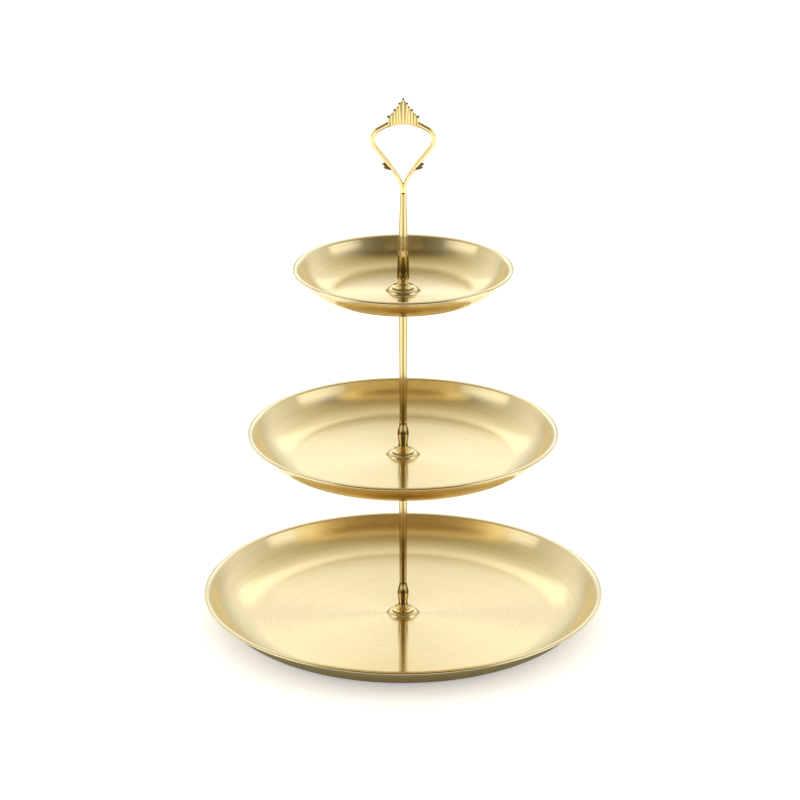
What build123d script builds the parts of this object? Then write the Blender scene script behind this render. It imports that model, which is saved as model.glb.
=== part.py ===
"""Three-tier cake stand: three spun plates on two reeded rods, with a crown-topped loop handle.

Millimetres, +Z up. The origin is the centre of the bottom plate's underside, on the table.
Every plate, rod and screw is centred on the Z axis, and the handle loop lies in the XZ plane.
"""
from build123d import *
from math import atan, cos, pi, sin
import os

# ---------------------------------------------------------------- driving dimensions
total_height = 350.0
tier_pitch = 111.5  # from one plate's underside to the next one's

# plates, pressed from one sheet: (radius, radius of the flat floor, height of the rim)
sheet = 0.6
bottom_size = (130.0, 100.0, 18.5)
middle_size = (100.0, 74.0, 17.5)
top_size = (70.0, 46.5, 16.5)
lip_width = 3.4
lip_crown = 0.55
wall_bow = 0.1  # how far the wall bows out, as a share of its own slant
boss_rise = 2.6
boss_top_radius = 7.5
boss_foot_radius = 11.5
plate_hole_radius = 2.25

# the clamped stack at each plate
gasket = 0.6
gasket_radius = 6.9
gasket_hole_radius = 2.05
flange_height = 2.0
flange_radius = 7.2
flange_edge = 0.5
flange_hole_radius = 2.1

# M4 threads, drawn at their outer diameter
thread_radius = 2.0
tapped_radius = 2.05
thread_engaged = 8.0
tap_clearance = 0.4
stud_sunk = 7.0
screw_head_radius = 3.6
screw_head_height = 1.3
screw_cross_width = 0.9
screw_cross_depth = 0.7
washer_radius = 6.0
washer_thickness = 0.4

# reeds on the rods and on the handle's shaft
reeds = 6
reed_valley = 0.87  # radius in the valley between two reeds, as a share of the crest's
ease_steps = 4  # sections from one named radius to the next

# rods, heights above their own foot
foot_radius = 3.5
foot_height = 1.0
waist_height, waist_radius = 3.2, 3.0
bulge_height, bulge_radius = 9.7, 3.7
neck_height, neck_radius = 18.0, 2.35
rod_top_radius = 2.85
rod_head_height = 9.0
seat_radius = 4.5
seat_height = 2.2

# crown handle: outline points are (half width, depth below the crown's tip)
bar_radius = 1.65
arm_radius = 1.3
arch_apex = (0.0, 11.6)
arch_bend = 18.9
shoulder = (23.2, 24.4)
shoulder_bend = 8.0
spur_root = (8.2, 43.5)
fork = (0.75, 53.8)
fork_bend = 22.0
fork_bottom = 63.0
arm_overlap = 2.5  # how far each arm runs up inside the bar
bud_depth, bud_radius = 55.6, 1.0
leaf_low = (7.6, 45.6)
leaf_belly = (10.9, 44.4)
leaf_tip = (13.4, 41.6)
leaf_high = (9.4, 41.2)
leaf_thickness = 1.9
rib_tips = [(0.0, 0.8), (2.5, 3.6), (3.7, 6.1), (5.4, 7.8), (7.4, 10.6), (9.2, 12.0)]
rib_root_pitch = 1.82
crown_web = 1.3
rib_root_radius, rib_tip_radius = 0.92, 0.5
bead_radius = 0.8
crown_foot = 15.4  # depth of the ribs' roots at the middle of the arch
crown_skirt = 1.2  # how far the web's lower corners hang below that
shaft_top_radius = 2.15
shaft_middle_radius = 2.85
shaft_bell_radius = 4.0
bell_height = 3.6
loop_height = 61.6

# ---------------------------------------------------------------- worked-out heights
gasket_bottom = boss_rise - gasket  # the gasket under each boss
flange_bottom = boss_rise + sheet + gasket
foot_level = flange_bottom + flange_height
rod_length = tier_pitch + gasket_bottom - foot_level
thread_tip = foot_level + thread_engaged
levels = {"bottom": 0.0, "middle": tier_pitch, "top": 2 * tier_pitch}

os.makedirs("parts", exist_ok=True)


def save(part, name):
    """Label a finished piece and write its own STEP file."""
    part.label = name
    export_step(part, f"parts/{name}.step")


def upright(level):
    """The XZ plane at a height, for profiles that are turned about the Z axis."""
    return Plane(origin=(0, 0, level), x_dir=(1, 0, 0), z_dir=(0, -1, 0))


# ---------------------------------------------------------------- plates
def make_plate(name, level, size):
    """A shallow dish: pressed boss, flat floor, bowed wall and a rolled lip, all of one sheet."""
    radius, floor_radius, rim_height = size
    lip_lean = 2 * atan(2 * lip_crown / lip_width)  # the lip's slope at its outer edge
    lip_end = radius - sheet * sin(lip_lean)
    top_of_wall = (lip_end - lip_width, rim_height - sheet - lip_crown)
    slant = (Vector(*top_of_wall) - Vector(floor_radius, 0)).length
    with BuildPart() as plate:
        with BuildSketch(upright(level)):
            with BuildLine():
                Line((plate_hole_radius, boss_rise), (boss_top_radius, boss_rise))
                flank = ((boss_top_radius + boss_foot_radius) / 2, boss_rise / 2)
                TangentArc((boss_top_radius, boss_rise), flank, tangent=(1, 0))
                TangentArc((boss_foot_radius, 0), flank, tangent=(-1, 0))
                Line((boss_foot_radius, 0), (floor_radius, 0))
                SagittaArc((floor_radius, 0), top_of_wall, -wall_bow * slant)
                SagittaArc(top_of_wall, (lip_end, top_of_wall[1]), lip_crown)
                offset(amount=sheet, side=Side.LEFT)
            make_face()
        revolve(axis=Axis.Z)
    save(plate.part, name)


make_plate("bottom_plate", levels["bottom"], bottom_size)
make_plate("middle_plate", levels["middle"], middle_size)
make_plate("top_plate", levels["top"], top_size)


# ---------------------------------------------------------------- gaskets and flanges
def make_ring(name, level, outer_radius, hole_radius, thickness):
    """A flat washer with its lower face at the given height."""
    with BuildPart() as ring:
        with BuildSketch(Plane.XY.offset(level)):
            Circle(outer_radius)
            Circle(hole_radius, mode=Mode.SUBTRACT)
        extrude(amount=thickness)
    save(ring.part, name)


def make_flange(name, level):
    """The foot flange that spreads a rod's load: a disc that sweeps up to the rod in a cove."""
    with BuildPart() as flange:
        with BuildSketch(upright(level + flange_bottom)):
            with BuildLine():
                rim_bottom = (flange_radius - flange_edge / 2, 0)
                rim_top = (flange_radius - flange_edge / 2, flange_edge)
                Line((flange_hole_radius, 0), rim_bottom)
                ThreePointArc(rim_bottom, (flange_radius, flange_edge / 2), rim_top)
                SagittaArc(rim_top, (foot_radius, flange_height), flange_edge / 2)
                Line((foot_radius, flange_height), (flange_hole_radius, flange_height))
                Line((flange_hole_radius, flange_height), (flange_hole_radius, 0))
            make_face()
        revolve(axis=Axis.Z)
    save(flange.part, name)


for tier, level in levels.items():
    make_ring(f"{tier}_lower_gasket", level + gasket_bottom, gasket_radius, gasket_hole_radius, gasket)
    make_ring(f"{tier}_upper_gasket", level + boss_rise + sheet, gasket_radius, gasket_hole_radius, gasket)
    make_flange(f"{tier}_flange", level)


# ---------------------------------------------------------------- base screw, washer and studs
washer_bottom = gasket_bottom - washer_thickness
make_ring("base_washer", washer_bottom, washer_radius, plate_hole_radius, washer_thickness)

with BuildPart() as base_screw:
    head_bottom = washer_bottom - screw_head_height
    with BuildSketch(Plane.XY.offset(head_bottom)):
        Circle(screw_head_radius)
    extrude(amount=screw_head_height)
    fillet(base_screw.edges().sort_by(Axis.Z)[0], screw_head_height / 3)
    with BuildSketch(Plane.XY.offset(washer_bottom)):
        Circle(thread_radius)
    extrude(amount=thread_tip - washer_bottom)
    chamfer(base_screw.edges().sort_by(Axis.Z)[-1], thread_radius / 5)
    with BuildSketch(Plane.XY.offset(head_bottom)):
        SlotOverall(screw_head_radius * 1.3, screw_cross_width)
        SlotOverall(screw_head_radius * 1.3, screw_cross_width, rotation=90)
    extrude(amount=screw_cross_depth, mode=Mode.SUBTRACT)
save(base_screw.part, "base_screw")


def make_stud(name, next_level):
    """A threaded stud, sunk in the head of one rod and screwed into the foot of the piece above."""
    bottom = next_level + gasket_bottom - stud_sunk
    with BuildPart() as stud:
        with BuildSketch(Plane.XY.offset(bottom)):
            Circle(thread_radius)
        extrude(amount=next_level + thread_tip - bottom)
        chamfer(stud.edges().sort_by(Axis.Z)[-1], thread_radius / 5)
    save(stud.part, name)


make_stud("lower_stud", levels["middle"])
make_stud("upper_stud", levels["top"])


# ---------------------------------------------------------------- rods
def reeded_section(height, radius):
    """A round section with convex reeds: one arc for each reed, with a valley facing the front."""
    step = 2 * pi / reeds
    valley = reed_valley * radius
    with BuildSketch(Plane.XY.offset(height)) as section:
        with BuildLine():
            for turn in (pi / 2 + step * number for number in range(reeds)):
                ThreePointArc(
                    (valley * cos(turn), valley * sin(turn)),
                    (radius * cos(turn + step / 2), radius * sin(turn + step / 2)),
                    (valley * cos(turn + step), valley * sin(turn + step)),
                )
        make_face()
    return section.sketch


def reeded_sections(stations):
    """Reeded sections through (height, radius) stations, easing from each radius to the next."""
    sections = [reeded_section(*stations[0])]
    for (low, low_radius), (high, high_radius) in zip(stations, stations[1:]):
        for number in range(1, ease_steps + 1):
            share = number / ease_steps
            eased = (1 - cos(pi * share)) / 2
            height = low + (high - low) * share
            sections.append(reeded_section(height, low_radius + (high_radius - low_radius) * eased))
    return sections


def make_rod(name, foot):
    """A cast rod: turned foot, reeded waist, bulge and long taper, and a round head that carries a plate."""
    top = foot + rod_length
    stations = [
        (foot + foot_height / 2, foot_radius),
        (foot + waist_height, waist_radius),
        (foot + bulge_height, bulge_radius),
        (foot + neck_height, neck_radius),
        (top - rod_head_height, rod_top_radius),
        (top - seat_height / 2, seat_radius),
    ]
    with BuildPart() as rod:
        loft(sections=reeded_sections(stations), ruled=True)
        with BuildSketch(Plane.XY.offset(foot)):
            Circle(foot_radius)
        extrude(amount=foot_height)
        with BuildSketch(Plane.XY.offset(top - seat_height)):
            Circle(seat_radius)
        extrude(amount=seat_height)
        with BuildSketch(Plane.XY.offset(foot)):
            Circle(tapped_radius)
        extrude(amount=thread_engaged + tap_clearance, mode=Mode.SUBTRACT)
        with BuildSketch(Plane.XY.offset(top)):
            Circle(tapped_radius)
        extrude(amount=-stud_sunk, mode=Mode.SUBTRACT)
    save(rod.part, name)


make_rod("lower_rod", levels["bottom"] + foot_level)
make_rod("upper_rod", levels["middle"] + foot_level)


# ---------------------------------------------------------------- crown handle
def below(depth, x=0.0):
    """A point of the handle's flat outline, given by its depth under the crown's tip."""
    return (x, total_height - depth)


def along(start, end, share):
    """The point a share of the way from one outline point to another."""
    return (start[0] + (end[0] - start[0]) * share, start[1] + (end[1] - start[1]) * share)


bar_side = (Vector(*shoulder) - Vector(*spur_root)).length
last_rib = len(rib_tips) - 1
shaft_top = total_height - loop_height
shaft_foot = levels["top"] + foot_level
bell = shaft_foot + bell_height

with BuildPart() as crown_handle:
    # the loop: an arch, two shoulders and two straight sides, bent from one round bar
    with BuildLine(Plane.XZ) as loop_path:
        FilletPolyline(
            below(spur_root[1], -spur_root[0]),
            below(shoulder[1], -shoulder[0]),
            below(arch_apex[1]),
            below(shoulder[1], shoulder[0]),
            below(spur_root[1], spur_root[0]),
            radius=[shoulder_bend, arch_bend, shoulder_bend],
        )
    with BuildSketch(Plane(loop_path.line @ 0, z_dir=loop_path.line % 0)):
        Circle(bar_radius)
    sweep(path=loop_path.line)

    # the two thinner arms that run from the leaves down to the shaft
    for side in (-1, 1):
        root = along(spur_root, shoulder, arm_overlap / bar_side)
        with BuildLine(Plane.XZ) as arm_path:
            FilletPolyline(
                below(root[1], side * root[0]),
                below(fork[1], side * fork[0]),
                below(fork_bottom, side * fork[0]),
                radius=fork_bend,
            )
        with BuildSketch(Plane(arm_path.line @ 0, z_dir=arm_path.line % 0)):
            Circle(arm_radius)
        sweep(path=arm_path.line)
        # a pointed leaf over the joint of bar and arm
        with BuildSketch(Plane.XZ):
            with BuildLine():
                low, belly, tip, high = (
                    below(depth, side * x) for x, depth in (leaf_low, leaf_belly, leaf_tip, leaf_high)
                )
                ThreePointArc(low, belly, tip)
                Line(tip, high)
                Line(high, low)
            make_face()
        extrude(amount=leaf_thickness / 2, both=True)

    # the crown: a thin web with a fan of ribs, each ending in a bead
    with BuildSketch(Plane.XZ):
        with BuildLine():
            right = [below(depth, x) for x, depth in rib_tips[1:]]
            left = [below(depth, -x) for x, depth in reversed(rib_tips[1:])]
            Polyline(*left, below(rib_tips[0][1]), *right)
            foot_right = below(crown_foot + crown_skirt, rib_tips[-1][0])
            foot_left = below(crown_foot + crown_skirt, -rib_tips[-1][0])
            Line(right[-1], foot_right)
            ThreePointArc(foot_right, below(crown_foot - crown_skirt / 2), foot_left)
            Line(foot_left, left[0])
        make_face()
    extrude(amount=crown_web / 2, both=True)
    for number in range(-last_rib, last_rib + 1):
        side = -1 if number < 0 else 1
        tip_x, tip_depth = rib_tips[abs(number)]
        root_x = number * rib_root_pitch
        root = Vector(root_x, 0, total_height - crown_foot - root_x**2 / (2 * arch_bend))
        tip = Vector(side * tip_x, 0, total_height - tip_depth)
        rib_plane = Plane(origin=root, z_dir=tip - root)
        with BuildSketch(rib_plane):
            Circle(rib_root_radius)
        with BuildSketch(rib_plane.offset((tip - root).length)):
            Circle(rib_tip_radius)
        loft()
        with Locations(tip):
            Sphere(bead_radius)

    # the bud in the fork and the reeded shaft, which swells to a bell at its foot
    with Locations((0, 0, total_height - bud_depth)):
        Sphere(bud_radius)
    stations = [
        (shaft_top, shaft_top_radius),
        ((shaft_top + bell) / 2, shaft_middle_radius),
        (bell, shaft_bell_radius),
    ]
    loft(sections=reeded_sections(stations), ruled=True)
    with BuildSketch(upright(shaft_foot)):
        with BuildLine():
            waist = (foot_radius - 0.4, bell_height / 2)
            Line((0, 0), (foot_radius, 0))
            ThreePointArc((foot_radius, 0), (foot_radius + 0.2, bell_height / 4), waist)
            ThreePointArc(waist, (foot_radius, 0.7 * bell_height), (shaft_bell_radius, bell_height))
            Line((shaft_bell_radius, bell_height), (0, bell_height + 1))
            Line((0, bell_height + 1), (0, 0))
        make_face()
    revolve(axis=Axis.Z)
    with BuildSketch(Plane.XY.offset(shaft_foot)):
        Circle(tapped_radius)
    extrude(amount=thread_engaged + tap_clearance, mode=Mode.SUBTRACT)
save(crown_handle.part, "crown_handle")
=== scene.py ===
"""A three-tier cake stand, in the order in which it is put together.

Three pressed plates are clamped between two cast rods and a cast handle by one screw and two studs.
Metres, +Z up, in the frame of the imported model.
"""
from math import atan, cos, pi, radians, sin, tan

import bmesh
import bpy
from mathutils import Matrix, Vector


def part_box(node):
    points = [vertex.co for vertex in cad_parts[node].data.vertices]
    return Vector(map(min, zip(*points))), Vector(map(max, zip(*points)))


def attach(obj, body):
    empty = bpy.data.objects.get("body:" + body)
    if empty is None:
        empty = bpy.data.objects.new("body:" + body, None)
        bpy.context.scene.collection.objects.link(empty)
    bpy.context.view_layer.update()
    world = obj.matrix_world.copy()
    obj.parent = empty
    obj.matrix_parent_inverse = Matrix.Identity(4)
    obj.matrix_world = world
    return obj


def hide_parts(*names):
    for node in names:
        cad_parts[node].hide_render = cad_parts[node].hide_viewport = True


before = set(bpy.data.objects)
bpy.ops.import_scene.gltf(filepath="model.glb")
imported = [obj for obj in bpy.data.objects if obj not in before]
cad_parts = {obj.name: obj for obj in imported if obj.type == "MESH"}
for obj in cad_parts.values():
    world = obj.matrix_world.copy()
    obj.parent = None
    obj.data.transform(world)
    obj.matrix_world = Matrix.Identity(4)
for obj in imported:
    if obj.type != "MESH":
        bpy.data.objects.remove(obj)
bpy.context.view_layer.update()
mm = 0.001

# ------------------------------------------------------------------------------------ plates
# Three shallow dishes, each pressed from one sheet of stainless steel and plated pale gold.
# The inside is brushed in circles while the plate spins; the rolled lip is then polished.
sheet = 0.6 * mm
boss_rise = 2.6 * mm
hub_hole = 2.25 * mm
boss_shoulder, boss_root = 8.92 * mm, 10.08 * mm
boss_bend = 2.15 * mm
lip_width, lip_crown, lip_bend = 3.4 * mm, 0.55 * mm, 0.45 * mm
wall_bow = 0.1  # share of the wall's own slant
wall_arc = 0.72  # share of the wall that its main arc takes
crease_share = 0.95 * (1 - wall_arc)  # the soft crease at the wall's foot takes nearly all the rest
lip_roll = 0.8  # share of the lip's two slopes that its rolled crown takes
plate_floors = {"bottom_plate": 100.0 * mm, "middle_plate": 74.0 * mm, "top_plate": 46.5 * mm}
plate_bodies = {"bottom_plate": "base", "middle_plate": "middle_plate", "top_plate": "top_plate"}
plate_run = 8 * mm  # the longest straight run of a plate's outline
bend_guard = 0.15 * mm  # a run this short stays beside each bend, so that the shading doesn't spread
weld = 0.0005 * mm  # points closer than this are one


def rounded(corners, steps=6):
    """An outline through (across, up, bend radius) corners, with each bend as a tangent arc."""
    points = []
    for number, (x, z, bend) in enumerate(corners):
        here = Vector((x, z))
        if number in (0, len(corners) - 1) or not bend:
            points.append(here)
            continue
        back = (Vector(corners[number - 1][:2]) - here).normalized()
        ahead = (Vector(corners[number + 1][:2]) - here).normalized()
        half = back.angle(ahead) / 2
        centre = here + (back + ahead).normalized() * bend / sin(half)
        start = here + back * bend / tan(half) - centre
        sweep = start.angle_signed(here + ahead * bend / tan(half) - centre)
        for step in range(steps + 1):
            turn = -sweep * step / steps
            points.append(centre + Vector((start.x * cos(turn) - start.y * sin(turn),
                                           start.x * sin(turn) + start.y * cos(turn))))
    return points


def divided(points, longest):
    """The same outline with its long runs cut up, and a short run kept beside each of their ends."""
    result = [points[0]]
    for start, end in zip(points, points[1:]):
        length = (end - start).length
        if length > longest:
            guard = min(bend_guard, length / 8)
            cuts = max(1, round(length / longest))
            shares = [guard / length] + [cut / cuts for cut in range(1, cuts)] + [1 - guard / length]
            result += [start.lerp(end, share) for share in shares]
        result.append(end)
    return result


def add(tree, kind, *values, pick=0, **settings):
    """Add a node, feed its sockets in order with numbers or other nodes' outputs, and give an output."""
    node = tree.nodes.new(kind)
    for key, value in settings.items():
        setattr(node, key, value)
    for socket, value in zip([s for s in node.inputs if s.enabled], values):
        if isinstance(value, bpy.types.NodeSocket):
            tree.links.new(value, socket)
        elif value is not None:
            socket.default_value = value
    return [s for s in node.outputs if s.enabled][pick]


def do(tree, operation, *values):
    """One step of arithmetic in a tree."""
    return add(tree, "ShaderNodeMath", *values, operation=operation)


def new_tree(name, geometry, **inputs):
    """An empty Geometry Nodes tree with named inputs."""
    tree = bpy.data.node_groups.new(name, "GeometryNodeTree")
    tree.interface.new_socket("Geometry", in_out="OUTPUT", socket_type="NodeSocketGeometry")
    tree.interface.new_socket(geometry, in_out="INPUT", socket_type="NodeSocketGeometry")
    for key, kind in inputs.items():
        tree.interface.new_socket(key.replace("_", " "), in_out="INPUT", socket_type="NodeSocket" + kind)
    return tree, tree.nodes.new("NodeGroupInput").outputs


def end_tree(tree, geometry, material, smooth=True, others=()):
    """Close a tree: real geometry in place of instances, its material, and others where their tests hold."""
    if smooth:
        geometry = add(tree, "GeometryNodeSetShadeSmooth", geometry)
    geometry = add(tree, "GeometryNodeRealizeInstances", geometry)
    for test, finish in ((None, material), *others):
        geometry = add(tree, "GeometryNodeSetMaterial", geometry, test, finish)
    tree.links.new(geometry, tree.nodes.new("NodeGroupOutput").inputs[0])


def placed(name, data):
    """A new object in the scene."""
    piece = bpy.data.objects.new(name, data)
    bpy.context.scene.collection.objects.link(piece)
    return piece


def outline(name, points, **attributes):
    """A mesh of one line in the XZ plane, with values kept on its points."""
    mesh = bpy.data.meshes.new(name)
    edges = [(number, number + 1) for number in range(len(points) - 1)]
    mesh.from_pydata([(p.x, 0, p.y) for p in points], edges, [])
    for key, values in attributes.items():
        if isinstance(values[0], tuple):
            layer = mesh.attributes.new(key, "FLOAT_VECTOR", "POINT")
            layer.data.foreach_set("vector", [part for value in values for part in value])
        else:
            layer = mesh.attributes.new(key, "FLOAT", "POINT")
            layer.data.foreach_set("value", values)
    return placed(name, mesh)


def settled(piece):
    """The plain mesh that a piece's modifiers make of it; the modifiers are then taken off."""
    bpy.context.view_layer.update()
    mesh = bpy.data.meshes.new_from_object(piece.evaluated_get(bpy.context.evaluated_depsgraph_get()))
    piece.modifiers.clear()
    return mesh


def made(piece, tree, **sizes):
    """Run a tree on a piece and keep the result as a plain closed mesh, its faces pointing outwards."""
    modifier = piece.modifiers.new(tree.name, "NODES")
    modifier.node_group = tree
    for item in tree.interface.items_tree:
        key = item.name.replace(" ", "_")
        if item.in_out == "INPUT" and key in sizes:
            modifier[item.identifier] = sizes[key]
    mesh = settled(piece)
    shape = bmesh.new()
    shape.from_mesh(mesh)
    bmesh.ops.remove_doubles(shape, verts=shape.verts, dist=weld)
    bmesh.ops.recalc_face_normals(shape, faces=shape.faces)
    shape.to_mesh(mesh)
    shape.free()
    piece.data = mesh
    return piece


# Every turned piece comes from one tree: the profile is carried round the axis, and the same tree
# cuts the reeds and leaves of the rods and the turns of a screw thread.
turned, given = new_tree("turned", "Profile", Segments="Int", Reeds="Int", Valley="Float",
                         Pitch="Float", Thread_Depth="Float", Leaf_Depth="Float",
                         Body="Material", Lip="Material", Back="Material")
rows = add(turned, "GeometryNodeAttributeDomainSize", given["Profile"])
columns = do(turned, "ADD", given["Segments"], 1)
grid = add(turned, "GeometryNodeMeshGrid", 1.0, 1.0, rows, columns)
index = add(turned, "GeometryNodeInputIndex")
row = do(turned, "FLOOR", do(turned, "DIVIDE", index, columns))
column = do(turned, "SUBTRACT", index, do(turned, "MULTIPLY", row, columns))
place = add(turned, "GeometryNodeSampleIndex", given["Profile"],
            add(turned, "GeometryNodeInputPosition"), row, data_type="FLOAT_VECTOR")
split = add(turned, "ShaderNodeSeparateXYZ", place).node.outputs


def kept(name):
    """A value that the profile's point carries under that name."""
    value = add(turned, "GeometryNodeInputNamedAttribute", name, data_type="FLOAT")
    return add(turned, "GeometryNodeSampleIndex", given["Profile"], value, row, data_type="FLOAT")


share = do(turned, "DIVIDE", column, given["Segments"])
angle = do(turned, "MULTIPLY", share, 2 * pi)
reed_count = do(turned, "MULTIPLY", share, given["Reeds"])
crest = do(turned, "ABSOLUTE", do(turned, "SINE", do(turned, "MULTIPLY", reed_count, pi)))
dip = do(turned, "MULTIPLY", do(turned, "SUBTRACT", 1.0, crest), kept("reed"))
# a leaf is as wide as its profile point says, in half reeds, and the ground round it is cut away
leaf_flatness, least_leaf = 3.0, 0.01
off_crest = do(turned, "ABSOLUTE", do(
    turned, "MULTIPLY_ADD", do(turned, "FRACT", reed_count), 2.0, -1.0))
across_leaf = do(turned, "DIVIDE", off_crest, do(turned, "MAXIMUM", kept("leaf"), least_leaf))
leaf_top = do(turned, "MAXIMUM", 0.0, do(
    turned, "SUBTRACT", 1.0, do(turned, "POWER", across_leaf, leaf_flatness)))
sunk = do(turned, "MULTIPLY", do(turned, "SUBTRACT", 1.0, leaf_top), kept("ground"))
reeded = do(turned, "MULTIPLY", split["X"], do(
    turned, "SUBTRACT", 1.0, do(turned, "MULTIPLY", dip, given["Valley"])))
phase = do(turned, "FRACT", do(
    turned, "SUBTRACT", do(turned, "DIVIDE", split["Z"], given["Pitch"]), share))
groove = do(turned, "ABSOLUTE", do(turned, "SUBTRACT", do(turned, "MULTIPLY", phase, 2.0), 1.0))
groove = do(turned, "MULTIPLY", do(turned, "MULTIPLY", groove, kept("thread")), given["Thread Depth"])
radius = do(turned, "SUBTRACT", do(turned, "SUBTRACT", reeded, groove),
            do(turned, "MULTIPLY", sunk, given["Leaf Depth"]))
front = do(turned, "SUBTRACT", angle, pi / 2)  # the first reed valley faces the front
spot = add(turned, "ShaderNodeCombineXYZ", do(turned, "MULTIPLY", radius, do(turned, "COSINE", front)),
           do(turned, "MULTIPLY", radius, do(turned, "SINE", front)), split["Z"])
skin = add(turned, "GeometryNodeSetPosition", grid, None, spot)
# painted shade: the stored crevice value darkens the reed valleys and the sunken ground round the leaves
for key, value in (("painted_crevice_shade", do(turned, "MAXIMUM", dip, sunk)), ("side", kept("side"))):
    skin = add(turned, "GeometryNodeStoreNamedAttribute", skin, None, key, value, data_type="FLOAT")
skin = add(turned, "GeometryNodeMergeByDistance", skin, None, 2 * weld)
# a plate's lip takes its own finish, and its back a finish whose darker colour is painted shade, where the
# profile says so
side = add(turned, "GeometryNodeInputNamedAttribute", "side", data_type="FLOAT")
lip_finish = (do(turned, "GREATER_THAN", side, 0.5), given["Lip"])
back_finish = (do(turned, "GREATER_THAN", side, 1.5), given["Back"])
end_tree(turned, skin, given["Body"], others=(lip_finish, back_finish))


def turn(name, points, body, lip=None, back=None, segments=96, reeds=6, valley=0.0, leaf_depth=0.0,
         pitch=0.7 * mm, depth=0.0, **marks):
    """A piece turned about the Z axis from a profile that already stands at its own height."""
    for key in ("reed", "leaf", "ground", "thread", "side"):
        marks.setdefault(key, [0.0] * len(points))
    return made(outline(name, points, **marks), turned, Segments=segments, Reeds=reeds, Valley=valley,
                Leaf_Depth=leaf_depth, Pitch=pitch, Thread_Depth=depth, Body=body, Lip=lip or body,
                Back=back or body)


def shader(name):
    """An empty metal or plastic finish, and its Principled shader."""
    material = bpy.data.materials.new(name)
    material.use_nodes = True
    return material, material.node_tree, material.node_tree.nodes["Principled BSDF"]


def on_piece(tree):
    """The place of a point on its own piece."""
    return add(tree, "ShaderNodeTexCoord", pick=3)


def noise(tree, place, fineness, detail=2.0, rough=0.5):
    """A cloudy 0 to 1 value."""
    return add(tree, "ShaderNodeTexNoise", place, None, fineness, detail, rough)


def relief(tree, finish, height, strength, depth):
    """Let a 0 to 1 height rise and fall over a finish, by a depth."""
    tree.links.new(add(tree, "ShaderNodeBump", strength, depth, 1.0, height), finish.inputs["Normal"])


def rings(tree, across, along_ring):
    """Noise drawn out into rings about the axis: across sets the rings' fineness, along_ring their length."""
    parts = add(tree, "ShaderNodeSeparateXYZ", on_piece(tree)).node.outputs
    radius = add(tree, "ShaderNodeVectorMath", add(
        tree, "ShaderNodeCombineXYZ", parts["X"], parts["Y"], 0.0), operation="LENGTH", pick=0)
    unit = do(tree, "ADD", radius, 0.01 * mm)  # never nothing, even on the axis
    spot = add(tree, "ShaderNodeCombineXYZ",
               do(tree, "MULTIPLY_ADD", radius, across, do(tree, "MULTIPLY", parts["Z"], across)),
               do(tree, "MULTIPLY", do(tree, "DIVIDE", parts["X"], unit), along_ring),
               do(tree, "MULTIPLY", do(tree, "DIVIDE", parts["Y"], unit), along_ring))
    return noise(tree, spot, 1.0, detail=3.0, rough=0.6)


def ranged(tree, value, low, high):
    """A 0 to 1 value stretched between two others."""
    return do(tree, "MULTIPLY_ADD", value, high - low, low)


def mixed(tree, value, low, high):
    """A colour between two others."""
    ramp = tree.nodes.new("ShaderNodeValToRGB")
    ramp.color_ramp.elements[0].color = (*low, 1)
    ramp.color_ramp.elements[1].color = (*high, 1)
    ramp.color_ramp.elements[0].position, ramp.color_ramp.elements[1].position = 0.3, 0.7
    tree.links.new(value, ramp.inputs[0])
    return ramp.outputs[0]


def brushed(name, roughness, stretch, scratches, tones, spread=0.06):
    """Gold brushed in circles: scratches run round the plate, so highlights draw out along its radius."""
    material, tree, metal = shader(name)
    fine = rings(tree, across=9000.0, along_ring=1.5)
    broad = rings(tree, across=700.0, along_ring=0.6)
    tree.links.new(mixed(tree, broad, *tones), metal.inputs["Base Color"])
    tree.links.new(ranged(tree, fine, roughness, roughness + spread), metal.inputs["Roughness"])
    metal.inputs["Metallic"].default_value = 1.0
    metal.inputs["Anisotropic"].default_value = stretch
    metal.inputs["Anisotropic Rotation"].default_value = 0.25
    radial = add(tree, "ShaderNodeTangent", direction_type="RADIAL", axis="Z")
    tree.links.new(radial, metal.inputs["Tangent"])
    relief(tree, metal, fine, strength=scratches, depth=0.02 * mm)
    return material


satin_gold = brushed("satin_gold", roughness=0.16, stretch=0.96, scratches=0.06,
                     tones=((0.86, 0.735, 0.42), (0.91, 0.785, 0.475)))
# painted shade: the plates' undersides take a darker, deeper copy of the satin gold
satin_back = brushed("satin_back", roughness=0.13, stretch=0.8, scratches=0.04,
                     tones=((0.75, 0.59, 0.28), (0.80, 0.64, 0.32)))
bright_lip = brushed("polished_lip", roughness=0.10, stretch=0.5, scratches=0.04, spread=0.08,
                     tones=((0.84, 0.74, 0.46), (0.88, 0.78, 0.51)))


def pressed(line, thickness):
    """A closed profile of one sheet: the line is its underside, and both cut edges are rounded."""
    upper, half, edge_steps = [], thickness / 2, 6
    for number, point in enumerate(line):
        run = line[min(number + 1, len(line) - 1)] - line[max(number - 1, 0)]
        upper.append(point + Vector((-run.y, run.x)).normalized() * thickness)
    edges = []
    for under, over in ((line[-1], upper[-1]), (upper[0], line[0])):
        middle, across = (under + over) / 2, (under - over) / 2
        out = Vector((-across.y, across.x))
        edges.append([middle + across * cos(pi * step / edge_steps) + out * sin(pi * step / edge_steps)
                      for step in range(1, edge_steps)])
    # the rounded edges stay within the sheet's own ends
    edges = [[p - Vector((half, 0)) for p in edges[0]], [p + Vector((half, 0)) for p in edges[1]]]
    line, upper = line[:], upper[:]
    line[0], upper[0] = line[0] + Vector((half, 0)), upper[0] + Vector((half, 0))
    line[-1], upper[-1] = line[-1] - Vector((half, 0)), upper[-1] - Vector((half, 0))
    return line + edges[0] + upper[::-1] + edges[1] + line[:1]


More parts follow.
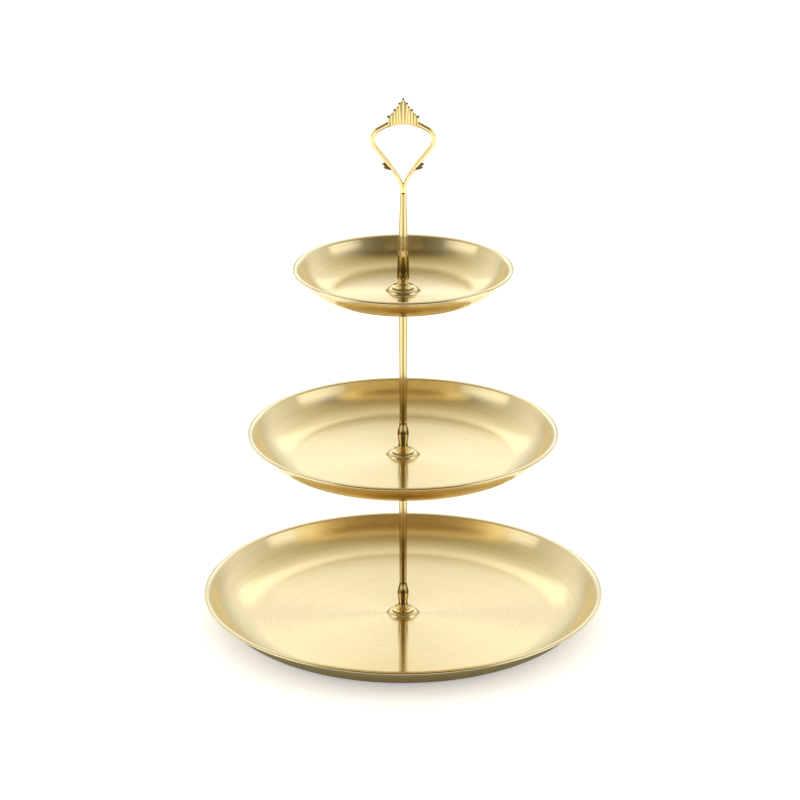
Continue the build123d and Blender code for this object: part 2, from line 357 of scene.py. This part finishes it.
for name, floor_radius in plate_floors.items():
    low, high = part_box(name)
    lip_lean = 2 * atan(2 * lip_crown / lip_width)
    lip_end = high.x - sheet * sin(lip_lean)
    wall_top = Vector((lip_end - lip_width, high.z - low.z - sheet - lip_crown))
    wall = wall_top - Vector((floor_radius, 0))
    half_turn = 2 * atan(2 * wall_bow)
    wall_angle = atan(wall.y / wall.x)
    reach = wall.length / (2 * cos(half_turn))
    foot_angle = wall_angle - half_turn
    belly = Vector((floor_radius + reach * cos(foot_angle), reach * sin(foot_angle)))
    crease_bend = crease_share * reach / tan(foot_angle / 2)
    lip_peak = wall_top + Vector((lip_width, lip_width * tan(lip_lean))) / 2
    underside = rounded([
        (hub_hole, boss_rise, 0),
        (boss_shoulder, boss_rise, boss_bend),
        (boss_root, 0, boss_bend),
        (floor_radius, 0, crease_bend),
        (belly.x, belly.y, wall_arc * wall.length / (2 * sin(half_turn))),
        (wall_top.x, wall_top.y, lip_bend),
        (*lip_peak, lip_roll * lip_width / (2 * sin(lip_lean))),
        (lip_end, wall_top.y, 0),
    ], steps=9)
    underside = [Vector((p.x, p.y + low.z)) for p in divided(underside, plate_run)]
    loop = pressed(underside, sheet)
    under = len(underside)
    side = [1.0 if p.x > wall_top.x - sheet else 2.0 if number < under else 0.0
            for number, p in enumerate(loop)]
    plate = turn(name + "_pressing", loop, satin_gold, bright_lip, satin_back, segments=240, side=side)
    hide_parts(name)
    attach(plate, plate_bodies[name])

# ------------------------------------------------------------------------------------ gaskets
# Clear soft plastic washers, one under and one over each plate, punched from sheet.
# They spread the clamping load and keep the plating from being scratched.
clear_gasket, tree, plastic = shader("clear_gasket")
cloud = noise(tree, on_piece(tree), 600.0)
tree.links.new(mixed(tree, cloud, (0.86, 0.87, 0.82), (0.93, 0.94, 0.90)), plastic.inputs["Base Color"])
tree.links.new(ranged(tree, cloud, 0.25, 0.4), plastic.inputs["Roughness"])
plastic.inputs["Transmission Weight"].default_value = 0.6
plastic.inputs["IOR"].default_value = 1.45
relief(tree, plastic, cloud, strength=0.1, depth=0.05 * mm)
gasket_hole, gasket_edge = 2.05 * mm, 0.18 * mm
washer_run = 1.5 * mm  # the longest straight run of a washer's profile


def washer_profile(inner, outer, bottom, top, edge):
    """The closed profile of a flat ring with softened edges."""
    middle = (inner + outer) / 2
    return divided(rounded([
        (middle, bottom, 0), (outer, bottom, edge), (outer, top, edge),
        (inner, top, edge), (inner, bottom, edge), (middle, bottom, 0),
    ], steps=4), washer_run)


gasket_bodies = {
    "bottom_lower_gasket": "base", "bottom_upper_gasket": "base",
    "middle_lower_gasket": "lower_rod", "middle_upper_gasket": "middle_plate",
    "top_lower_gasket": "upper_rod", "top_upper_gasket": "top_plate",
}
for name, body in gasket_bodies.items():
    low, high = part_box(name)
    ring = turn(name + "_ring", washer_profile(gasket_hole, high.x, low.z, high.z, gasket_edge),
                clear_gasket, segments=64)
    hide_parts(name)
    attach(ring, body)

# ------------------------------------------------------------------------------------ screws
# A cross-head screw with its washer comes up through the bottom plate, and a threaded stud joins
# each rod to the piece above it. All are steel with bright zinc plating; the threads are M4.
zinc, tree, metal = shader("zinc_plated_steel")
tone = noise(tree, on_piece(tree), 900.0, detail=4.0, rough=0.65)
tree.links.new(mixed(tree, tone, (0.60, 0.59, 0.56), (0.74, 0.73, 0.70)), metal.inputs["Base Color"])
tree.links.new(ranged(tree, tone, 0.18, 0.36), metal.inputs["Roughness"])
metal.inputs["Metallic"].default_value = 1.0
relief(tree, metal, tone, strength=0.06, depth=0.05 * mm)
thread_radius, thread_pitch, thread_depth = 2.0 * mm, 0.7 * mm, 0.32 * mm
thread_point = thread_radius / 5
rows_a_pitch = 8
head_height, head_bend, head_rim_bend = 1.3 * mm, 0.45 * mm, 0.12 * mm
neck_height, neck_bend = 0.4 * mm, 0.1 * mm
slot_wide, slot_deep, punch_reach = 0.45 * mm, 0.7 * mm, 1 * mm
washer_edge = 0.1 * mm


def threaded(top, bottom):
    """Profile points up a thread from its bottom to its bevelled point, and how much each is cut."""
    run = top - thread_point - bottom
    count = round(run / thread_pitch * rows_a_pitch)
    points = [Vector((thread_radius, bottom + run * row / count)) for row in range(count + 1)]
    end = [Vector((thread_radius - thread_point, top)), Vector((0, top))]
    return points + end, [1.0] * len(points) + [0.5, 0.0]


low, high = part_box("base_screw")
head_radius, head_top = high.x, low.z + head_height
shank, shank_cut = threaded(high.z, head_top + neck_height)
head = rounded([
    (0, low.z, 0), (head_radius, low.z, head_bend), (head_radius, head_top, head_rim_bend),
    (thread_radius, head_top, neck_bend), (thread_radius, head_top + neck_height, 0),
], steps=5)[:-1]
base_screw = turn("base_screw_threaded", head + shank, zinc, segments=64, pitch=thread_pitch,
                  depth=thread_depth, thread=[0.0] * len(head) + shank_cut)
# the cross recess, cut by a cross-shaped punch
slot_long = 0.65 * head_radius
cutter_mesh = bpy.data.meshes.new("cross_recess")
shape = bmesh.new()
rim = []
for quarter in range(4):
    quarter_turn = Matrix.Rotation(radians(90 * quarter), 3, "Z")
    for x, y in ((slot_long, -slot_wide), (slot_long, slot_wide), (slot_wide, slot_wide)):
        rim.append(shape.verts.new(quarter_turn @ Vector((x, y, low.z - punch_reach))))
grown = bmesh.ops.extrude_face_region(shape, geom=[shape.faces.new(rim)])["geom"]
lifted = [v for v in grown if isinstance(v, bmesh.types.BMVert)]
bmesh.ops.translate(shape, verts=lifted, vec=(0, 0, punch_reach + slot_deep))
bmesh.ops.recalc_face_normals(shape, faces=shape.faces)
shape.to_mesh(cutter_mesh)
shape.free()
cutter = placed("cross_recess", cutter_mesh)
cut = base_screw.modifiers.new("cross_recess", "BOOLEAN")
cut.operation, cut.object, cut.solver = "DIFFERENCE", cutter, "EXACT"
base_screw.data = settled(base_screw)
bpy.data.objects.remove(cutter)
shape = bmesh.new()
shape.from_mesh(base_screw.data)
bmesh.ops.remove_doubles(shape, verts=shape.verts, dist=weld)
bmesh.ops.triangulate(shape, faces=[f for f in shape.faces if len(f.verts) > 4])
shape.to_mesh(base_screw.data)
shape.free()
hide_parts("base_screw")
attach(base_screw, "base")

low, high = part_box("base_washer")
washer = turn("base_washer_ring", washer_profile(hub_hole, high.x, low.z, high.z, washer_edge), zinc,
              segments=80)
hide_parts("base_washer")
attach(washer, "base")

for name, body in (("lower_stud", "lower_rod"), ("upper_stud", "upper_rod")):
    low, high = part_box(name)
    shank, shank_cut = threaded(high.z, low.z)
    stud = turn(name + "_threaded", [Vector((0, low.z))] + shank, zinc, segments=64, pitch=thread_pitch,
                depth=thread_depth, thread=[0.0] + shank_cut)
    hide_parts(name)
    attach(stud, body)

# ------------------------------------------------------------------------------------ flanges
# A small dished collar at the foot of each rod and of the handle, turned in brass and gold plated.
# It spreads the clamping load over the upper gasket.
polished_gold, tree, metal = shader("polished_gold")
waves = noise(tree, on_piece(tree), 260.0, detail=3.0)
lengthwise = add(tree, "ShaderNodeMapping", on_piece(tree), None, None, (4000.0, 4000.0, 260.0))
hairs = noise(tree, lengthwise, 1.0, rough=0.6)
worn = mixed(tree, waves, (0.87, 0.70, 0.33), (0.92, 0.77, 0.41))
# painted shade: the reed valleys, the sunken ground round the leaves, the crown's beads and the cast leaves
# are mixed towards a dark brown, and made a little duller than the gold
painted_shade_cover, painted_shade_tone, painted_shade_dulling = 0.85, (0.13, 0.09, 0.025, 1), 0.15
painted_shade_mask = add(tree, "ShaderNodeAttribute", attribute_name="painted_crevice_shade", pick=2)
cover = do(tree, "MULTIPLY", painted_shade_mask, painted_shade_cover)
shade = add(tree, "ShaderNodeMix", cover, worn, painted_shade_tone, data_type="RGBA")
tree.links.new(shade, metal.inputs["Base Color"])
dulling = do(tree, "MULTIPLY", painted_shade_mask, painted_shade_dulling)
tree.links.new(do(tree, "ADD", ranged(tree, hairs, 0.05, 0.11), dulling), metal.inputs["Roughness"])
metal.inputs["Metallic"].default_value = 1.0
relief(tree, metal, waves, strength=0.05, depth=0.08 * mm)
rod_foot = 3.5 * mm
collar_hole, collar_edge, collar_dish = 2.1 * mm, 0.5 * mm, 0.8 * mm  # the dish is the height at its middle
rim_bend, dish_bend, top_bend, hole_bend = 0.22 * mm, 3 * mm, 0.15 * mm, 0.1 * mm
collar_run = 1.2 * mm  # the longest straight run of a collar's profile

for name in ("bottom_flange", "middle_flange", "top_flange"):
    low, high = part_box(name)
    middle = (collar_hole + high.x) / 2
    collar = divided(rounded([
        (middle, low.z, 0), (high.x, low.z, rim_bend), (high.x, low.z + collar_edge, rim_bend),
        ((high.x + rod_foot) / 2, low.z + collar_dish, dish_bend), (rod_foot, high.z, top_bend),
        (collar_hole, high.z, hole_bend), (collar_hole, low.z, hole_bend), (middle, low.z, 0),
    ], steps=7), collar_run)
    flange = turn(name + "_collar", collar, polished_gold, segments=128)
    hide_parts(name)
    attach(flange, name)

# ------------------------------------------------------------------------------------ rods
# Two cast zinc rods, polished and gold plated: a turned foot, a waist, a bulge with leaf relief,
# a long reeded taper, and a round head that carries the next plate. Both ends are tapped.
bore, bore_foot, bore_head, bore_edge = 2.05 * mm, 8.4 * mm, 7.0 * mm, 0.1 * mm
reeds, reed_valley = 6, 0.14
foot_height, foot_step, foot_bend = 1.0 * mm, 0.3 * mm, 0.2 * mm
seat_radius, seat_height, seat_step = 4.5 * mm, 2.2 * mm, 0.5 * mm
seat_bend, seat_top_bend = 0.3 * mm, 0.2 * mm
leaf_width, leaf_depth = 0.9, 0.28 * mm  # the width is a share of a reed's
bulge_top, reed_fade, leaf_fade = 17.0 * mm, 2 * mm, 1 * mm
bulge_run, stem_run = 0.25 * mm, 1.2 * mm  # the height of one step of the outline
petal_middle, petal_half = 13.9 * mm, 2.9 * mm
long_leaf_wide, long_leaf_round, long_leaf_narrowing = 8.0 * mm, 2.6 * mm, 0.07 / mm
rod_stations = [  # (height above the foot, or below the top where negative; radius)
    (0.5 * mm, 3.5 * mm), (3.2 * mm, 3.0 * mm), (9.7 * mm, 3.7 * mm), (18.0 * mm, 2.35 * mm),
    (-9.0 * mm, 2.85 * mm), (-1.1 * mm, 4.5 * mm),
]


def eased(stations, longest):
    """Points through (radius, height) stations, easing from each radius to the next."""
    points = [Vector(stations[0])]
    for start, end in zip(stations, stations[1:]):
        steps = max(8, round((end[1] - start[1]) / longest))
        for step in range(1, steps + 1):
            share = step / steps
            radius = start[0] + (end[0] - start[0]) * (1 - cos(pi * share)) / 2
            points.append(Vector((radius, start[1] + (end[1] - start[1]) * share)))
    return points


def faded(height, start, end, run):
    """One between two heights and nothing outside them, rising and falling over a short run."""
    return max(0.0, min(1.0, (height - start) / run, (end - height) / run))


def arc(height, middle, half):
    """The half width of a round leaf at a height, as a share of its widest."""
    return max(0.0, 1 - ((height - middle) / half) ** 2) ** 0.5


def bulge_leaf(height):
    """Half width of the leaves on the bulge: a long one from the foot up, and a round petal above it."""
    if height < long_leaf_wide:
        long_leaf = leaf_width - long_leaf_narrowing * (long_leaf_wide - height)
    else:
        long_leaf = leaf_width * arc(height, long_leaf_wide, long_leaf_round)
    return max(long_leaf, leaf_width * arc(height, petal_middle, petal_half))


for name in ("lower_rod", "upper_rod"):
    low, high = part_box(name)
    stations = [(radius, (low.z if height > 0 else high.z) + height) for height, radius in rod_stations]
    foot_top, seat_foot = low.z + foot_height, high.z - seat_height
    stem = [p for p in eased(stations[:4], bulge_run) + eased(stations[3:], stem_run)[1:]
            if foot_top + 0.1 * foot_height < p.y < seat_foot - 0.05 * seat_height]
    foot = rounded([
        (0, low.z + bore_foot, 0), (bore, low.z + bore_foot, bore_edge), (bore, low.z, bore_edge),
        (rod_foot, low.z, foot_bend), (rod_foot, foot_top, foot_bend), (rod_foot - foot_step, foot_top, 0),
    ], steps=5)[:-1]
    seat = rounded([
        (seat_radius - seat_step, seat_foot, 0), (seat_radius, seat_foot, seat_bend),
        (seat_radius, high.z, seat_top_bend), (bore, high.z, bore_edge),
        (bore, high.z - bore_head, bore_edge), (0, high.z - bore_head, 0),
    ], steps=5)[1:]
    profile = foot + stem + seat
    heights = [p.y - low.z if p in stem else 0.0 for p in profile]
    reed = [faded(h, bulge_top, seat_foot - low.z, reed_fade) for h in heights]
    rod = turn(name + "_casting", profile, polished_gold, segments=192, reeds=reeds, valley=reed_valley,
               leaf_depth=leaf_depth, reed=reed, leaf=[bulge_leaf(h) for h in heights],
               ground=[faded(h, foot_height, bulge_top + leaf_fade, leaf_fade) for h in heights])
    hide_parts(name)
    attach(rod, name)

# ------------------------------------------------------------------------------------ handle
# One zinc casting, polished and gold plated: a reeded shaft on a bell foot forks into two arms,
# which open into a loop with a small crown of ribs on top. It screws down on the last stud.
low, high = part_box("crown_handle")
tip = high.z
bar_radius, arm_radius = 1.65 * mm, 1.3 * mm


def below(x, depth, bend=0.0):
    """A point of the handle's outline, from its half width and its depth under the crown's tip."""
    return (x * mm, tip - depth * mm, bend * mm)


bent_bar, given = new_tree("bent_bar", "Path", Facets="Int", Material="Material")
path = add(bent_bar, "GeometryNodeMeshToCurve", given["Path"])
thick = add(bent_bar, "GeometryNodeInputNamedAttribute", "thick", data_type="FLOAT")
path = add(bent_bar, "GeometryNodeSetCurveRadius", path, None, thick)
section = add(bent_bar, "GeometryNodeCurvePrimitiveCircle", given["Facets"], mode="RADIUS")
section.node.inputs["Radius"].default_value = 1.0
bar = add(bent_bar, "GeometryNodeCurveToMesh", path, section)
for socket in bar.node.inputs:
    if socket.name == "Fill Caps":
        socket.default_value = True
    if socket.name == "Scale":
        bent_bar.links.new(thick, socket)
end_tree(bent_bar, bar, given["Material"])

arch_bend, shoulder_bend, fork_bend = 18.9, 8.0, 22.0
loop_corners = [below(-8.2, 43.5), below(-23.2, 24.4, shoulder_bend), below(0, 11.6, arch_bend),
                below(23.2, 24.4, shoulder_bend), below(8.2, 43.5)]
loop_run, arm_run = 1.5 * mm, 1.0 * mm
loop_line = divided(rounded(loop_corners, steps=14), loop_run)
crown_half, arch_foot = 8.6 * mm, tip - 20 * mm  # the crown takes the bar's place over the top of the arch
parts = []
for side in (-1, 1):
    half_loop = [p for p in loop_line if p.x * side > crown_half or p.y < arch_foot and p.x * side > 0]
    arm_corners = [below(side * 9.6, 41.5), below(side * 0.75, 53.8, fork_bend), below(side * 0.75, 63.0)]
    arm_line = divided(rounded(arm_corners, steps=18), arm_run)
    for name, line, thick in (("handle_loop", half_loop, bar_radius), ("handle_arm", arm_line, arm_radius)):
        parts.append(made(outline(name, line, thick=[thick] * len(line)), bent_bar, Facets=24,
                          Material=polished_gold))

# the shaft, with its bell and foot: the reeds run down to points, and small leaves rise from the bell
bell_radius, bell_height, bell_step = 4.0 * mm, 3.6 * mm, 0.9 * mm
bell_step_radius, bell_step_bend, waist_radius, waist_bend = 3.7 * mm, 0.5 * mm, 3.0 * mm, 0.6 * mm
shaft_middle_radius, shaft_top_radius, shaft_run = 2.85 * mm, 2.15 * mm, 0.3 * mm
cap_radius, cap_shoulder, cap_height = 1.2 * mm, 0.6 * mm, 0.8 * mm
small_leaf, reeds_start, shaft_reed_fade = 4.6 * mm, 15.0 * mm, 4 * mm
shaft_top, bell_top = tip - 61.6 * mm, low.z + bell_height
shaft = eased([(bell_radius, bell_top), (shaft_middle_radius, (shaft_top + bell_top) / 2),
               (shaft_top_radius, shaft_top)], shaft_run)
shaft_foot = rounded([
    (0, low.z + bore_foot, 0), (bore, low.z + bore_foot, bore_edge), (bore, low.z, bore_edge),
    (rod_foot, low.z, foot_bend), (bell_step_radius, low.z + bell_step, bell_step_bend),
    (waist_radius, low.z + bell_height / 2, waist_bend), (bell_radius, bell_top, 0),
], steps=6)[:-1]
cap = [Vector((cap_radius, shaft_top + cap_shoulder)), Vector((0, shaft_top + cap_height))]
profile = shaft_foot + shaft + cap
heights = [p.y - bell_top if p in shaft else 0.0 for p in profile]
reed = [faded(h, reeds_start, shaft_top - low.z, shaft_reed_fade) for h in heights]
leaf = [max(leaf_width * arc(h, 0, small_leaf), min(1, (h - small_leaf) / (reeds_start - small_leaf)))
        for h in heights]
ground = [min(1, h / leaf_fade) * faded(h, -reeds_start, 1.4 * reeds_start, reeds_start / 2) if h > 0 else 0
          for h in heights]
parts.append(turn("handle_shaft", profile, polished_gold, segments=192, reeds=reeds, valley=reed_valley,
                  leaf_depth=leaf_depth, reed=reed, leaf=leaf, ground=ground))

# the crown: a fan of tapered ribs with rounded feet, each ending in a bead painted dark all over as shade
crown_ribs, given = new_tree("crown_ribs", "Roots", Root_Radius="Float", Tip_Radius="Float",
                             Bead_Radius="Float", Material="Material")
lean = add(crown_ribs, "GeometryNodeInputNamedAttribute", "lean", data_type="FLOAT_VECTOR")
length = add(crown_ribs, "ShaderNodeVectorMath", lean, operation="LENGTH")
turned_to = add(crown_ribs, "FunctionNodeAlignRotationToVector", None, 1.0, lean, axis="Z")
cone = add(crown_ribs, "GeometryNodeMeshCone", 20, 8, 1, given["Tip Radius"], given["Root Radius"], 1.0)
cone = add(crown_ribs, "GeometryNodeSetShadeSmooth", cone, cone.node.outputs["Side"])
ribs = add(crown_ribs, "GeometryNodeInstanceOnPoints", given["Roots"], None, cone, None, None, turned_to,
           add(crown_ribs, "ShaderNodeCombineXYZ", 1.0, 1.0, length))
tips = add(crown_ribs, "GeometryNodeSetPosition", given["Roots"], None, None, lean)
fan = crown_ribs.nodes.new("GeometryNodeJoinGeometry")
crown_ribs.links.new(ribs, fan.inputs[0])
bead_size = add(crown_ribs, "GeometryNodeInputNamedAttribute", "bead", data_type="FLOAT")
root_swell = (1.03, 1.03, 1.03)  # the feet are a little fatter than the ribs they close
# the beads carry painted shade all over, the feet none
for spots, radius, size, painted_shade in ((tips, given["Bead Radius"], bead_size, 1.0),
                                    (given["Roots"], given["Root Radius"], root_swell, 0.0)):
    ball = add(crown_ribs, "GeometryNodeMeshUVSphere", 20, 12, radius)
    ball = add(crown_ribs, "GeometryNodeSetShadeSmooth", ball)
    ball = add(crown_ribs, "GeometryNodeStoreNamedAttribute", ball, None, "painted_crevice_shade", painted_shade,
               data_type="FLOAT")
    balls = add(crown_ribs, "GeometryNodeInstanceOnPoints", spots, None, ball, None, None, None, size)
    crown_ribs.links.new(balls, fan.inputs[0])
end_tree(crown_ribs, fan.outputs[0], given["Material"], smooth=False)

rib_tips = [(0.0, 0.8), (2.5, 3.6), (3.7, 6.1), (5.4, 7.8), (7.4, 10.6), (9.2, 12.0)]
bead_sizes = [1.0, 0.9, 0.75, 1.05, 0.7, 1.15]
rib_root_pitch, rib_root_depth = 1.82, 16.3
rib_root_radius, rib_tip_radius, rib_bead_radius = 0.92 * mm, 0.5 * mm, 0.8 * mm


def rib_root(x):
    """Where a rib starts, on the lower edge of the arch."""
    return Vector(below(x, rib_root_depth + x ** 2 / (2 * arch_bend))[:2])


roots, leans, beads = [], [], []
for number in range(1 - len(rib_tips), len(rib_tips)):
    x, depth = rib_tips[abs(number)]
    root = rib_root(number * rib_root_pitch)
    rib = Vector(below(x if number > 0 else -x, depth)[:2]) - root
    roots.append(root)
    leans.append((rib.x, 0, rib.y))
    beads.append(bead_sizes[abs(number)])
parts.append(made(outline("crown_ribs", roots, lean=leans, bead=beads), crown_ribs,
                  Root_Radius=rib_root_radius, Tip_Radius=rib_tip_radius, Bead_Radius=rib_bead_radius,
                  Material=polished_gold))


def slab(name, points, thickness, bevel, material):
    """A flat plate in the XZ plane with rounded edges."""
    mesh = bpy.data.meshes.new(name)
    shape = bmesh.new()
    face = shape.faces.new([shape.verts.new((p.x, -thickness / 2, p.y)) for p in points])
    grown = bmesh.ops.extrude_face_region(shape, geom=[face])["geom"]
    lifted = [v for v in grown if isinstance(v, bmesh.types.BMVert)]
    bmesh.ops.translate(shape, verts=lifted, vec=(0, thickness, 0))
    rim = [e for e in shape.edges if abs(e.verts[0].co.y - e.verts[1].co.y) < thickness / 2]
    bmesh.ops.bevel(shape, geom=rim, offset=bevel, segments=3, profile=0.5, affect="EDGES")
    bmesh.ops.recalc_face_normals(shape, faces=shape.faces)
    for face in shape.faces:
        face.smooth = True
    shape.to_mesh(mesh)
    shape.free()
    mesh.materials.append(material)
    return placed(name, mesh)


def with_painted_shade(piece, amount):
    """Paint shade all over a piece, and give it back."""
    painted_shade = piece.data.attributes.new("painted_crevice_shade", "FLOAT", "POINT")
    painted_shade.data.foreach_set("value", [amount] * len(piece.data.vertices))
    return piece


# the web and the two leaves are painted dark all over as shade
web_half, web_steps = 9.1, 6
top, *right = [Vector(below(x, depth)[:2]) for x, depth in rib_tips]
left = [Vector((-p.x, p.y)) for p in reversed(right)]
foot = [rib_root(web_half * (1 - step / web_steps)) for step in range(2 * web_steps + 1)]
web = slab("crown_web", left + [top] + right + foot, thickness=0.5 * mm, bevel=0.1 * mm,
           material=polished_gold)
parts.append(with_painted_shade(web, amount=0.7))
leaf_outline = [(7.2, 46.6), (8.8, 46.2), (10.3, 45.9), (12.4, 45.0), (11.3, 44.2), (13.3, 42.4),
                (11.2, 41.9), (9.8, 41.3), (8.2, 42.6)]
for side in (-1, 1):
    points = [Vector(below(side * x, depth)[:2]) for x, depth in leaf_outline]
    leaf = slab("handle_leaf", points, thickness=2.0 * mm, bevel=0.35 * mm, material=polished_gold)
    parts.append(with_painted_shade(leaf, amount=1.2))

# a round bud sits in the fork
bud_radius, bud_middle = 1.0 * mm, tip - 55.6 * mm
bud_bend = 0.99 * bud_radius
bud = rounded([
    (0, bud_middle - bud_radius, 0), (bud_radius, bud_middle - bud_radius, bud_bend),
    (bud_radius, bud_middle + bud_radius, bud_bend), (0, bud_middle + bud_radius, 0),
], steps=7)
parts.append(turn("handle_bud", bud, polished_gold, segments=24))

# the parts of the casting become one mesh
handle = parts[0]
with bpy.context.temp_override(active_object=handle, object=handle, selected_objects=parts,
                               selected_editable_objects=parts):
    bpy.ops.object.join()
handle.name = "crown_handle_casting"
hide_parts("crown_handle")
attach(handle, "crown_handle")

# ------------------------------------------------------------------------------------ studio
# A pale table stands in a room that is bright at the back and the sides, and dark overhead and above
# the camera. Two large soft lights stand to the sides and a small one at the back.
table_half = 20  # metres
white_paint, tree, paint = shader("table_white")
speckle = noise(tree, on_piece(tree), 40.0, detail=3.0)
tree.links.new(mixed(tree, speckle, (0.93, 0.93, 0.93), (0.95, 0.95, 0.95)), paint.inputs["Base Color"])
tree.links.new(ranged(tree, speckle, 0.6, 0.7), paint.inputs["Roughness"])
paint.inputs["Emission Color"].default_value = (1, 1, 1, 1)
paint.inputs["Emission Strength"].default_value = 0.4
mesh = bpy.data.meshes.new("table")
mesh.from_pydata([(-table_half, -table_half, 0), (table_half, -table_half, 0),
                  (table_half, table_half, 0), (-table_half, table_half, 0)], [], [(0, 1, 2, 3)])
mesh.materials.append(white_paint)
placed("table", mesh)

# the room's light from the back, over the top, to the front
world = bpy.data.worlds.new("studio")
world.use_nodes = True
bpy.context.scene.world = world
tree = world.node_tree
tree.nodes.clear()
heading = add(tree, "ShaderNodeSeparateXYZ", add(tree, "ShaderNodeTexCoord", pick=0)).node.outputs
lift = do(tree, "DIVIDE", do(tree, "ARCTAN2", heading["Z"], heading["Y"]), pi)
ramp = tree.nodes.new("ShaderNodeValToRGB")
tree.links.new(lift, ramp.inputs[0])
room = [(0.0, (0.55, 0.54, 0.51)), (0.07, (0.75, 0.74, 0.70)), (0.12, (1.00, 0.99, 0.97)),
        (0.20, (0.98, 0.95, 0.88)), (0.35, (0.62, 0.56, 0.42)), (0.46, (0.42, 0.33, 0.18)),
        (0.56, (0.03, 0.02, 0.006)), (0.66, (0.20, 0.16, 0.09)), (0.84, (0.05, 0.04, 0.02)),
        (0.92, (0.40, 0.37, 0.30)), (1.0, (0.75, 0.73, 0.68))]
side_tone, white = (0.78, 0.76, 0.71, 1), (1.0, 1.0, 1.0, 1)
for place, bright in room[1:-1]:
    ramp.color_ramp.elements.new(place)
for element, (place, bright) in zip(ramp.color_ramp.elements, room):
    element.position, element.color = place, (*bright, 1)
side_light = do(tree, "POWER", do(tree, "ABSOLUTE", heading["X"]), 3.0)
lit = add(tree, "ShaderNodeMix", side_light, ramp.outputs[0], side_tone, data_type="RGBA")
seen = add(tree, "ShaderNodeLightPath", pick=0)
backdrop = add(tree, "ShaderNodeMix", seen, lit, white, data_type="RGBA")
room_light = add(tree, "ShaderNodeBackground", backdrop, 1.0)
tree.links.new(room_light, tree.nodes.new("ShaderNodeOutputWorld").inputs[0])

light_aim = Vector((0, 0, 0.15))


def softbox(name, centre, width, height, power):
    """A soft oval light, aimed a little under the middle of the stand."""
    lamp = bpy.data.lights.new(name, "AREA")
    lamp.shape, lamp.size, lamp.size_y, lamp.energy = "ELLIPSE", width, height, power
    light = placed(name, lamp)
    light.location = centre
    light.rotation_euler = (light_aim - Vector(centre)).to_track_quat("-Z", "Y").to_euler()
    return light


for name, side in (("softbox_left", -1), ("softbox_right", 1)):
    softbox(name, (1.6 * side, -0.5, 0.95), width=1.5, height=1.0, power=3.0)
back_light = softbox("softbox_back", (0, 1.2, 0.76), width=1.0, height=0.34, power=0.36)
back_light.visible_camera = False

# a grey card lies under the bottom plate, and only the metal sees it: painted shadow, so the plates'
# undersides reflect shade where the table is lit
card_radius, card_bottom, card_top = 132 * mm, 0.1 * mm, 0.2 * mm
painted_shadow_grey, tree, paint = shader("grey_card")
nap = noise(tree, on_piece(tree), 300.0)
tree.links.new(mixed(tree, nap, (0.40, 0.40, 0.36), (0.46, 0.46, 0.41)), paint.inputs["Base Color"])
paint.inputs["Roughness"].default_value = 1.0
paint.inputs["Specular IOR Level"].default_value = 0.0
shadow_card = turn("grey_card", [Vector((0, card_bottom)), Vector((card_radius, card_bottom)),
                          Vector((card_radius, card_top)), Vector((0, card_top))], painted_shadow_grey)
shadow_card.visible_camera = shadow_card.visible_diffuse = shadow_card.visible_shadow = False

# a broad overhead fill whitens the table, and doesn't show in the metal
fill = bpy.data.lights.new("overhead_fill", "SUN")
fill.energy, fill.angle = 1.4, radians(150)
overhead = placed("overhead_fill", fill)
overhead.visible_glossy = False

# ------------------------------------------------------------------------------------ camera
# A long lens, two metres off and well above the stand, looks down about 21 degrees.
# The Standard view keeps the white of the table and the gold of the metal as they are lit.
camera_data = bpy.data.cameras.new("camera")
camera_data.lens = 150.2
camera_data.sensor_width = 36
camera = placed("camera", camera_data)
camera.location = (-0.002, -2.0, 0.905)
camera.rotation_euler = (radians(90 - 20.68), 0, 0)
bpy.context.scene.camera = camera
bpy.context.scene.view_settings.view_transform = "Standard"
bpy.context.scene.cycles.glossy_bounces = 8  # light passes many times between a plate and the one below
